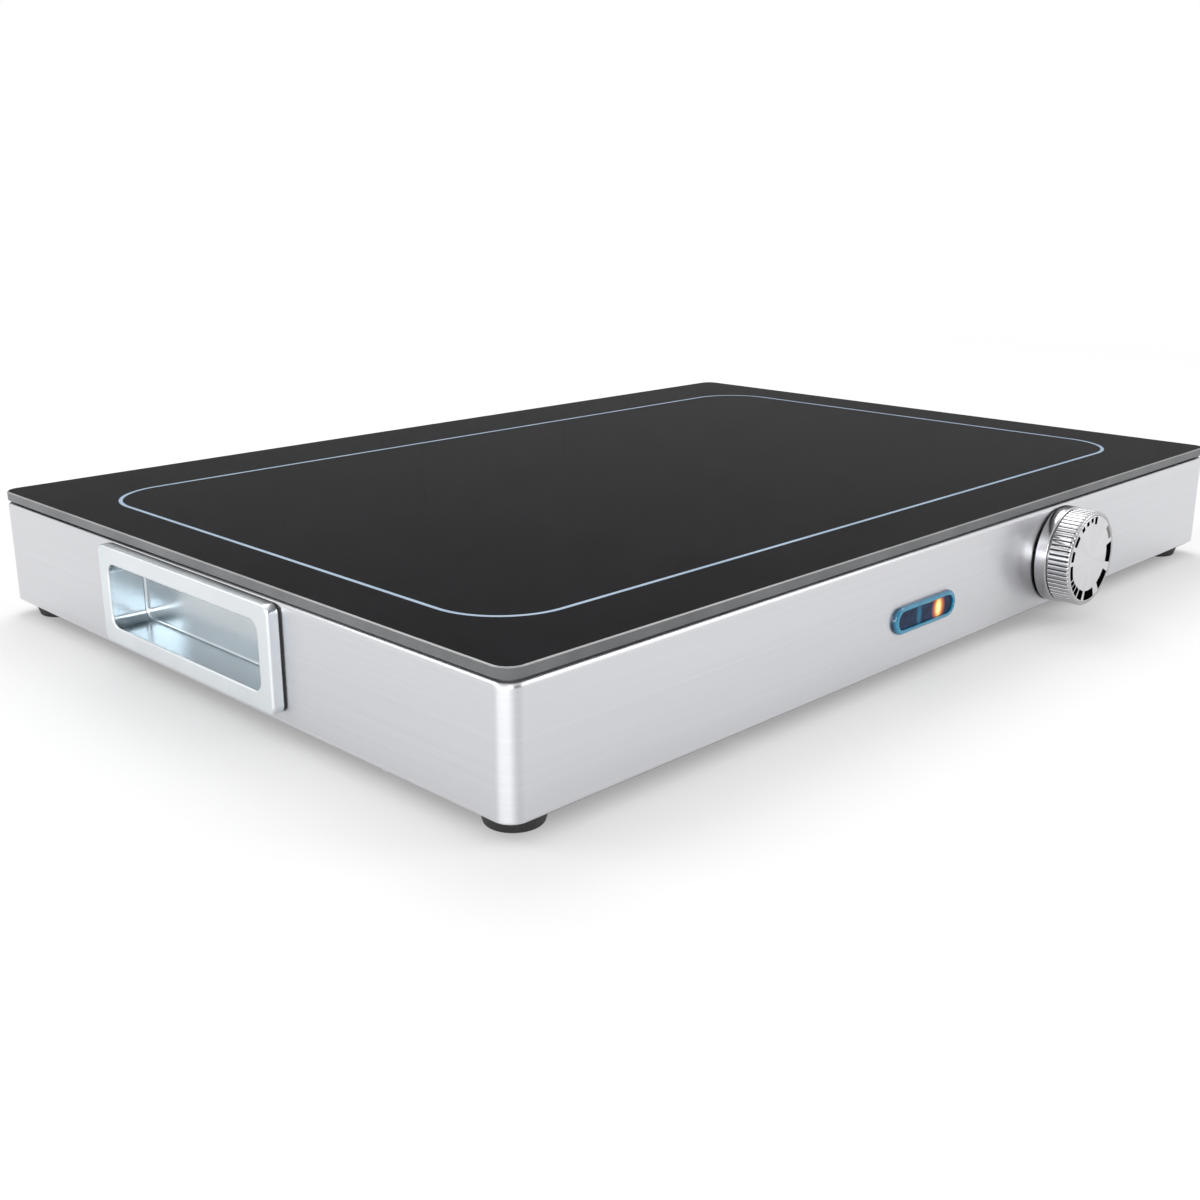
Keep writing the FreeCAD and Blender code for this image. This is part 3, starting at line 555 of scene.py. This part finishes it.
def make_materials():
    return {
        "steel": metal("brushed_steel", (0.63, 0.634, 0.657), (0.67, 0.674, 0.697), (4, 4, 800), (0.31, 0.36),
                       bump=0, anisotropic=0.75),
        "galvanised": metal("galvanised_sheet", (0.42, 0.43, 0.44), (0.58, 0.59, 0.60), even(60),
                            (0.35, 0.5)),
        "chrome": metal("satin_chrome", (0.72, 0.755, 0.78), (0.77, 0.805, 0.83), even(40), (0.30, 0.34),
                        bump=0),
        # Darker copy of the satin chrome for inside the handle recesses: painted shade.
        "cup_inner_shade": metal("cup_chrome_shaded", (0.52, 0.57, 0.60), (0.58, 0.63, 0.66), even(30), (0.19, 0.23),
                           bump=0),
        "knob": metal("bright_knob", (0.43, 0.43, 0.44), (0.51, 0.51, 0.52), even(60), (0.14, 0.20), bump=0),
        # Dark metal for the faces in the knob's rib valleys: painted shade in the grooves.
        "groove_shade": metal("knob_groove_shade", even(0.10), even(0.15), even(60), (0.3, 0.4), bump=0),
        "zinc": metal("zinc_screw", even(0.50), (0.66, 0.66, 0.64), even(300), (0.25, 0.4)),
        "brass": metal("brass", (0.52, 0.37, 0.14), (0.64, 0.47, 0.20), even(200), (0.25, 0.4)),
        "copper": metal("copper", (0.50, 0.24, 0.14), (0.64, 0.34, 0.20), even(200), (0.28, 0.4)),
        "aluminium": metal("rolled_aluminium", (0.62, 0.62, 0.63), (0.74, 0.74, 0.75), (4, 600, 4),
                           (0.3, 0.42)),
        "ribbon": metal("resistance_ribbon", (0.20, 0.18, 0.17), (0.34, 0.31, 0.29), even(80), (0.4, 0.5)),
        "glass": moulded("black_glass", (0.004, 0.004, 0.005), (0.007, 0.007, 0.009), (0.05, 0.09), 30,
                         bump=0),
        "glass_edge": moulded("ground_glass_edge", (0.085, 0.09, 0.095), (0.13, 0.135, 0.14), (0.30, 0.42),
                              1500, bump=0.00002),
        # The top chamfer of the black glass is a lighter grey: a painted highlight along the bevel.
        "glass_bevel_highlight": moulded("polished_bevel_highlight", even(0.23), even(0.31), (0.12, 0.2), 600, bump=0),
        "print": moulded("zone_print", (0.30, 0.40, 0.52), (0.36, 0.46, 0.58), (0.35, 0.45), 800, bump=0),
        "rubber": moulded("black_rubber", (0.012, 0.012, 0.013), (0.022, 0.022, 0.024), (0.5, 0.68), 700,
                          bump=0.00004),
        "seal": moulded("silicone_seal", even(0.006), even(0.012), (0.5, 0.6), 700),
        "joint": moulded("glass_joint", even(0.27), even(0.34), (0.5, 0.6), 700),
        "base": moulded("coated_base", (0.035, 0.035, 0.038), (0.05, 0.05, 0.055), (0.42, 0.55), 1200,
                        bump=0.00005),
        "plastic": moulded("black_moulding", (0.014, 0.014, 0.016), (0.022, 0.022, 0.025), (0.35, 0.5), 1100),
        # Black ink of the dial's marks, also laid on the notches at the ribs' front ends as painted shadow.
        "ink_and_notch_shade": moulded("dial_ink_and_notch_shade", even(0.001), even(0.002), (0.6, 0.7), bump=0, Specular_IOR_Level=0.0),
        "ink_grey": moulded("dial_ink_grey", even(0.13), even(0.17), (0.5, 0.6), bump=0),
        "amber": moulded("amber_lamp", (0.85, 0.38, 0.06), (0.95, 0.46, 0.10), (0.2, 0.3), 300),
        "blue_lamp": moulded("blue_lamp", (0.05, 0.25, 0.42), (0.08, 0.32, 0.5), (0.2, 0.3), 300),
        "mica": moulded("mica_sheet", (0.34, 0.28, 0.18), (0.46, 0.39, 0.27), (0.4, 0.6), 120),
        "wool": moulded("mineral_wool", (0.52, 0.49, 0.40), (0.66, 0.63, 0.54), (0.8, 0.95), 400,
                        bump=0.0006),
        "ceramic": moulded("glazed_ceramic", (0.66, 0.64, 0.58), (0.74, 0.72, 0.66), (0.2, 0.35), 200),
        "dial": dial_material(),
        "lens": lens_material(),
        "bezel": bezel_material(),
    }


# Pieces of the tray and the knob

def build_glass(m):
    top = GLASS_TOP - PRINT_THICK
    profile = [(inset, GLASS_LOW + up) for inset, up in GLASS_LOW_ROUND]
    edge_faces = len(profile) + 1
    profile += [(inset, top - drop) for inset, drop in GLASS_CHAMFER]
    loops = [loop(LENGTH - 2 * inset, DEPTH - 2 * inset, CORNER - inset, z) for inset, z in profile]
    plate = skin("glass_top", loops, [m["glass"], m["glass_edge"], m["glass_bevel_highlight"]],
                 slot_of=lambda i, k: 1 if i < edge_faces else 2)
    settle(plate, from_centre(), "tray", "black_glass", "glass_plate")
    loops = []
    for inset, z in ((0, top), (0, GLASS_TOP), (ZONE_LINE, GLASS_TOP), (ZONE_LINE, top)):
        size = (ZONE_LENGTH - 2 * inset, ZONE_DEPTH - 2 * inset, ZONE_CORNER - inset)
        loops.append(loop(*size, z, ZONE_STEPS))
    printed = skin("zone_line", loops, [m["print"]], ring=True)
    settle(printed, from_centre(ZONE_X, ZONE_Y), "tray", "black_glass")


def build_housing(m):
    low, top = HOUSE_LOW, HOUSE_TOP
    profile = [(BOTTOM_LIP, low)]
    profile += arc((BOTTOM_BEND, low), (0, low + BOTTOM_BEND), count=5, rise_first=False)
    profile += arc((0, top - TOP_BEND), (TOP_BEND, top), count=7)
    profile += [(TOP_LIP, top), (TOP_LIP, top - WALL), (WALL, top - WALL)]
    profile += [(WALL, low + WALL), (BOTTOM_LIP, low + WALL)]
    loops = []
    for inset, z in profile:
        radius = CORNER - inset if inset < CORNER - LIP_CORNER else LIP_CORNER
        loops.append(loop(LENGTH - 2 * inset, DEPTH - 2 * inset, radius, z))
    shell = skin("housing", loops, [m["steel"]], ring=True)
    shell.matrix_world = from_centre()
    grow = CUP_WALL + CUP_CLEARANCE
    cup = (CUP_LENGTH + 2 * grow, CUP_HEIGHT + 2 * grow, CUP_CORNER + grow)
    neck = (NECK_LENGTH + NECK_CLEARANCE, NECK_HEIGHT + NECK_CLEARANCE)
    holes = [(side, "handle_cup_" + side, lambda z: loop(*cup, z)) for side in ("left", "right")]
    holes.append(("front", "knob_body", lambda z: circle(SHAFT_HOLE, z)))
    holes.append(("front", "indicator_bezel", lambda z: round_ended(*neck, z)))
    holes.append(("rear", "inlet_body", lambda z: loop(SOCKET_LENGTH, SOCKET_HEIGHT, SOCKET_CORNER, z)))
    cutters = []
    for side, node, outline in holes:
        cutter = skin("hole", [outline(-CUTTER_REACH), outline(CUTTER_REACH)], [m["steel"]])
        cutter.matrix_world = wall_matrix(side, node)
        cutters.append(cutter)
    bpy.context.view_layer.update()
    cut(shell, cutters)
    settle(shell, from_centre(), "tray", "steel", "housing_shell")


def build_feet(m):
    height = HOUSE_LOW - FOOT_DROP
    profile = [(FOOT_RECESS, FOOT_RECESS_DEPTH), (FOOT_RECESS, FOOT_RECESS_EDGE)]
    profile += [(FOOT_RECESS + FOOT_RECESS_EDGE, 0)]
    profile += [(FOOT_BOTTOM - inset, up) for inset, up in FOOT_SOLE]
    profile += [(FOOT_TOP - inset, height - drop) for inset, drop in FOOT_FLANGE]
    x, y = LENGTH / 2 - FOOT_INSET, DEPTH / 2 - FOOT_INSET
    replaced = ["feet"]
    for row, sy in (("front", -1), ("rear", 1)):
        for side, sx in (("left", -1), ("right", 1)):
            loops = [circle(radius, z, FOOT_STEPS) for radius, z in profile]
            foot = skin(f"foot_{row}_{side}", loops, [m["rubber"]])
            settle(foot, from_centre(sx * x, sy * y), "tray", "rubber", *replaced)
            replaced = []


def build_handle(m, side):
    node = "handle_cup_" + side
    low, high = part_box(node)
    frame_length, frame_height = (high.y - low.y) / MM, (high.z - low.z) / MM
    top = GASKET + FRAME_THICK
    floor = top - CUP_DEPTH
    matrix = wall_matrix(side, node)
    loops = []
    for inset, z in arc((CUP_FLOOR_ROUND, floor), (0, floor + CUP_FLOOR_ROUND), count=6, rise_first=False):
        corner = CUP_CORNER - inset * CUP_FLOOR_SHRINK
        loops.append(loop(CUP_LENGTH - 2 * inset, CUP_HEIGHT - 2 * inset, corner, z))
    inner_faces = len(loops)
    for grow, z in arc((0, top - CUP_MOUTH_ROUND), (CUP_MOUTH_ROUND, top), count=4):
        loops.append(loop(CUP_LENGTH + 2 * grow, CUP_HEIGHT + 2 * grow, CUP_CORNER + grow, z))
    for inset, z in arc((FRAME_EDGE, top), (0, top - FRAME_EDGE), count=6, rise_first=False):
        corner = FRAME_CORNER - inset * FRAME_SHRINK
        loops.append(loop(frame_length - 2 * inset, frame_height - 2 * inset, corner, z))
    loops.append(loop(frame_length, frame_height, FRAME_CORNER, GASKET))
    outer = (CUP_LENGTH + 2 * CUP_WALL, CUP_HEIGHT + 2 * CUP_WALL, CUP_CORNER + CUP_WALL)
    loops.append(loop(*outer, GASKET))
    loops.append(loop(*outer, floor - CUP_WALL))
    # Faces inside the recess take the darker chrome as painted shade.
    cup = skin("handle_" + side, loops, [m["chrome"], m["cup_inner_shade"]],
               slot_of=lambda i, k: int(i < inner_faces), first_slot=1)
    settle(cup, matrix, "tray", "pearl_chrome", node)
    rim = (frame_length - 2 * GASKET_INSET, frame_height - 2 * GASKET_INSET, GASKET_CORNER)
    sizes = ((*rim, SEAT_GAP), (*rim, GASKET), (*outer, GASKET), (*outer, SEAT_GAP))
    gasket = skin("gasket_" + side, [loop(*size) for size in sizes], [m["seal"]], ring=True)
    settle(gasket, matrix, "tray", "seal", "handle_gasket_" + side)


def ribbed(radius, depth, z):
    """Circle with rounded ribs: broad crowns and narrow valleys."""
    points = []
    for k in range(RIB_COUNT * RIB_STEPS):
        across = abs(2 * ((k % RIB_STEPS) / RIB_STEPS) - 1)
        r = radius - depth * across**RIB_SHAPE
        a = 2 * math.pi * k / (RIB_COUNT * RIB_STEPS)
        points.append((r * math.cos(a), r * math.sin(a), z))
    return points


def knob_levels():
    """Levels of the knob from its bore round to the dial's seat: radius, depth of the ribs, height."""
    neck = DRUM_RADIUS - DRUM_NECK
    levels = [(KNOB_BORE, 0, KNOB_GAP + KNOB_BORE_DEPTH), (KNOB_BORE, 0, KNOB_GAP)]
    levels += [(SKIRT_RADIUS - inset, 0, KNOB_GAP + up) for inset, up in SKIRT_BACK]
    levels += [(SKIRT_RADIUS - inset, 0, SKIRT_TOP - drop) for inset, drop in SKIRT_FRONT]
    levels += [(neck, 0, SKIRT_TOP), (neck, 0, SKIRT_TOP + DRUM_START)]
    levels += [(DRUM_RADIUS - inset, RIB_DEPTH, SKIRT_TOP + up) for inset, up in RIB_START]
    levels += [(DRUM_RADIUS - inset, depth, KNOB_TOP - drop) for inset, drop, depth in DRUM_FRONT]
    levels += [(DIAL_RADIUS - inset, 0, KNOB_TOP - drop) for inset, drop in DIAL_RIM]
    return levels


def build_knob(m):
    matrix = wall_matrix("front", "knob_body")
    levels = knob_levels()

    def rib_slot(i, k):
        """Painted shade in the valleys between the ribs, and the dial's black ink in their notches as painted
        shadow.
        """
        depth = levels[i][1]
        if k % RIB_STEPS not in (0, RIB_STEPS - 1) or depth < RIB_DEPTH:
            return 0
        return 2 if depth == RIB_NOTCH else 1

    body = skin("knob", [ribbed(*level) for level in levels], [m["knob"], m["groove_shade"], m["ink_and_notch_shade"]],
                slot_of=rib_slot, sharp=KNOB_SHARP_ANGLE)
    settle(body, matrix, "knob", "knob_metal", "knob_body")
    face = KNOB_TOP - INK
    radius = DIAL_RADIUS - DIAL_GAP
    profile = [(radius, KNOB_TOP - DIAL_THICK), (radius, face - DIAL_EDGE), (radius - DIAL_EDGE, face)]
    dial = skin("knob_dial", [circle(r, z, DIAL_STEPS) for r, z in profile], [m["dial"]])
    settle(dial, matrix, "knob", "dial", "knob_face")
    build_ramp(m, matrix, face)


def sector(points, faces, start, end, inner, outer, low, top):
    """Adds one raised piece of a ring between two angles in degrees."""
    steps = max(2, round((end - start) / RAMP_STEP))
    base = len(points)
    for k in range(steps + 1):
        a = math.radians(start + (end - start) * k / steps)
        for r, z in ((inner, low), (outer, low), (outer, top), (inner, top)):
            points.append((r * math.cos(a), r * math.sin(a), z))
    for k in range(steps):
        for s in range(4):
            t = (s + 1) % 4
            a, b = base + 4 * k, base + 4 * (k + 1)
            faces.append((a + s, a + t, b + t, b + s))
    faces.append((base + 3, base + 2, base + 1, base))
    last = base + 4 * steps
    faces.append((last, last + 1, last + 2, last + 3))


def build_ramp(m, matrix, face):
    """Marks of the heat ramp, raised from the dial's face; the last one is grey."""
    points, faces, slots = [], [], []
    for mark in (*RAMP_MARKS, RAMP_END):
        middle, half, wide = mark
        start, end = 90 + middle - half, 90 + middle + half
        sector(points, faces, start, end, RAMP_OUTER - wide, RAMP_OUTER, face, KNOB_TOP)
        slots += [int(mark == RAMP_END)] * (len(faces) - len(slots))
    marks = mesh_piece("dial_ramp", points, faces, [m["ink_and_notch_shade"], m["ink_grey"]], slots)
    settle(marks, matrix, "knob", "dial")


def build_light(m):
    matrix = wall_matrix("front", "indicator_bezel")
    floor = BEZEL_PROUD - WINDOW_SUNK
    sizes = [(NECK_LENGTH, NECK_HEIGHT, -WALL), (NECK_LENGTH, NECK_HEIGHT, SEAT_GAP)]
    sizes += [(BEZEL_LENGTH, BEZEL_HEIGHT, SEAT_GAP)]
    for inset, z in arc((0, BEZEL_PROUD - BEZEL_ROUND), (BEZEL_ROUND, BEZEL_PROUD), count=6):
        sizes.append((BEZEL_LENGTH - 2 * inset, BEZEL_HEIGHT - 2 * inset, z))
    for grow, drop in WINDOW_LIP:
        sizes.append((WINDOW_LENGTH + grow, WINDOW_HEIGHT + grow, BEZEL_PROUD - drop))
    sizes += [(WINDOW_LENGTH, WINDOW_HEIGHT, floor), (WINDOW_LENGTH, WINDOW_HEIGHT, -WALL)]
    bezel = skin("light_bezel", [round_ended(*size) for size in sizes], [m["bezel"]], ring=True)
    settle(bezel, matrix, "tray", "blue_lens", "indicator_bezel")
    sizes = [(WINDOW_LENGTH - less, WINDOW_HEIGHT - less, floor - drop) for less, drop in LENS_EDGE]
    lens = skin("light_lens", [round_ended(*size) for size in sizes], [m["lens"]])
    settle(lens, matrix, "tray", "dark_lens", "indicator_window")


def dress_nodes(m):
    """Gives the CAD nodes that show as they are their materials."""
    for key, names in NODES_BY_MATERIAL.items():
        for name in names:
            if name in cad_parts:
                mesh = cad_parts[name].data
                mesh.materials.clear()
                mesh.materials.append(m[key])


# Stage, light and camera

def seen(tree):
    """One for camera, glossy and transmission rays, nought for the rays that light the object."""
    path = tree.nodes.new("ShaderNodeLightPath")
    total = path.outputs["Is Camera Ray"]
    for ray in ("Is Glossy Ray", "Is Transmission Ray"):
        most = tree.nodes.new("ShaderNodeMath")
        most.operation = "MAXIMUM"
        tree.links.new(total, most.inputs[0])
        tree.links.new(path.outputs[ray], most.inputs[1])
        total = most.outputs[0]
    return total


def stage_material(name, tone):
    """Matt material for the stage, and its tree."""
    material = bpy.data.materials.new(name)
    material.use_nodes = True
    shader = material.node_tree.nodes["Principled BSDF"]
    shader.inputs["Base Color"].default_value = (*even(tone), 1)
    shader.inputs["Roughness"].default_value = STAGE_ROUGHNESS
    shader.inputs["Specular IOR Level"].default_value = 0.0
    return material, material.node_tree


def blend_in(tree, share, other):
    """Mixes another shader over the material's own by a share."""
    mix = tree.nodes.new("ShaderNodeMixShader")
    tree.links.new(share, mix.inputs["Fac"])
    tree.links.new(tree.nodes["Principled BSDF"].outputs[0], mix.inputs[1])
    tree.links.new(other.outputs[0], mix.inputs[2])
    tree.links.new(mix.outputs[0], tree.nodes["Material Output"].inputs["Surface"])


def floor_material():
    """Pale floor: it shows soft shadows near the object, and the white of the background farther out."""
    material, tree = stage_material("stage_floor", FLOOR_TONE)
    place = tree.nodes.new("ShaderNodeTexCoord")
    reach = tree.nodes.new("ShaderNodeVectorMath")
    reach.operation = "LENGTH"
    fade = tree.nodes.new("ShaderNodeMapRange")
    fade.interpolation_type = "SMOOTHSTEP"
    fade.inputs["From Min"].default_value = FLOOR_NEAR
    fade.inputs["From Max"].default_value = FLOOR_FAR
    fade.inputs["To Min"].default_value = FLOOR_LIFT
    share = tree.nodes.new("ShaderNodeMath")
    share.operation = "MULTIPLY"
    tree.links.new(place.outputs["Object"], reach.inputs[0])
    tree.links.new(reach.outputs["Value"], fade.inputs["Value"])
    tree.links.new(fade.outputs["Result"], share.inputs[0])
    tree.links.new(seen(tree), share.inputs[1])
    blend_in(tree, share.outputs[0], tree.nodes.new("ShaderNodeEmission"))
    return material


def card_material():
    """Dark card that camera rays pass through."""
    material, tree = stage_material("stage_card", CARD_TONE)
    path = tree.nodes.new("ShaderNodeLightPath")
    blend_in(tree, path.outputs["Is Camera Ray"], tree.nodes.new("ShaderNodeBsdfTransparent"))
    return material


def add_stage(name, points, faces, material):
    mesh = bpy.data.meshes.new(name)
    mesh.from_pydata(points, [], faces)
    mesh.materials.append(material)
    piece = bpy.data.objects.new(name, mesh)
    bpy.context.scene.collection.objects.link(piece)


def add_floor():
    s = FLOOR_REACH
    points = [(-s, -s, 0), (s, -s, 0), (s, s, 0), (-s, s, 0)]
    add_stage("stage_floor", points, [(0, 1, 2, 3)], floor_material())


def add_cards():
    material = card_material()
    for number, (start, end) in enumerate(CARD_SPANS):
        points = []
        for k in range(CARD_STEPS + 1):
            a = math.radians(start + (end - start) * k / CARD_STEPS)
            for z in (0, CARD_HEIGHT):
                points.append((CARD_DISTANCE * math.cos(a), CARD_DISTANCE * math.sin(a), z))
        faces = [(2 * k, 2 * k + 2, 2 * k + 3, 2 * k + 1) for k in range(CARD_STEPS)]
        add_stage(f"stage_card_{number}", points, faces, material)


def add_world():
    """White background, which the metal and the glass show too, and an even pale light on the object."""
    world = bpy.data.worlds.new("studio")
    bpy.context.scene.world = world
    world.use_nodes = True
    tree = world.node_tree
    tree.nodes.clear()
    mix = tree.nodes.new("ShaderNodeMixShader")
    tree.links.new(seen(tree), mix.inputs["Fac"])
    for slot, tone in ((1, ROOM_TONE), (2, 1.0)):
        background = tree.nodes.new("ShaderNodeBackground")
        background.inputs["Color"].default_value = (*even(tone), 1)
        tree.links.new(background.outputs[0], mix.inputs[slot])
    out = tree.nodes.new("ShaderNodeOutputWorld")
    tree.links.new(mix.outputs[0], out.inputs["Surface"])


def add_lights():
    for name, place, aim, size, power in LIGHTS:
        light = bpy.data.lights.new(name, "AREA")
        light.shape = "RECTANGLE"
        light.size, light.size_y = size
        light.energy = power
        lamp = bpy.data.objects.new(name, light)
        bpy.context.scene.collection.objects.link(lamp)
        lamp.location = place
        direction = Vector(aim) - Vector(place)
        lamp.rotation_euler = direction.to_track_quat("-Z", "Y").to_euler()


def add_camera():
    data = bpy.data.cameras.new("camera")
    data.sensor_width = 36.0
    data.lens = CAMERA_LENS
    camera = bpy.data.objects.new("camera", data)
    bpy.context.scene.collection.objects.link(camera)
    camera.location = (centre.x + CAMERA_X * MM, centre.y + CAMERA_Y * MM, (HOUSE_LOW + CAMERA_UP) * MM)
    camera.rotation_euler = (math.pi / 2 - CAMERA_PITCH, 0, -CAMERA_YAW)
    bpy.context.scene.camera = camera


def main():
    materials = make_materials()
    add_camera()
    build_glass(materials)
    build_housing(materials)
    build_feet(materials)
    for side in ("left", "right"):
        build_handle(materials, side)
    build_knob(materials)
    build_light(materials)
    dress_nodes(materials)
    add_floor()
    add_cards()
    add_world()
    add_lights()
    bpy.context.scene.view_settings.view_transform = "Standard"


main()
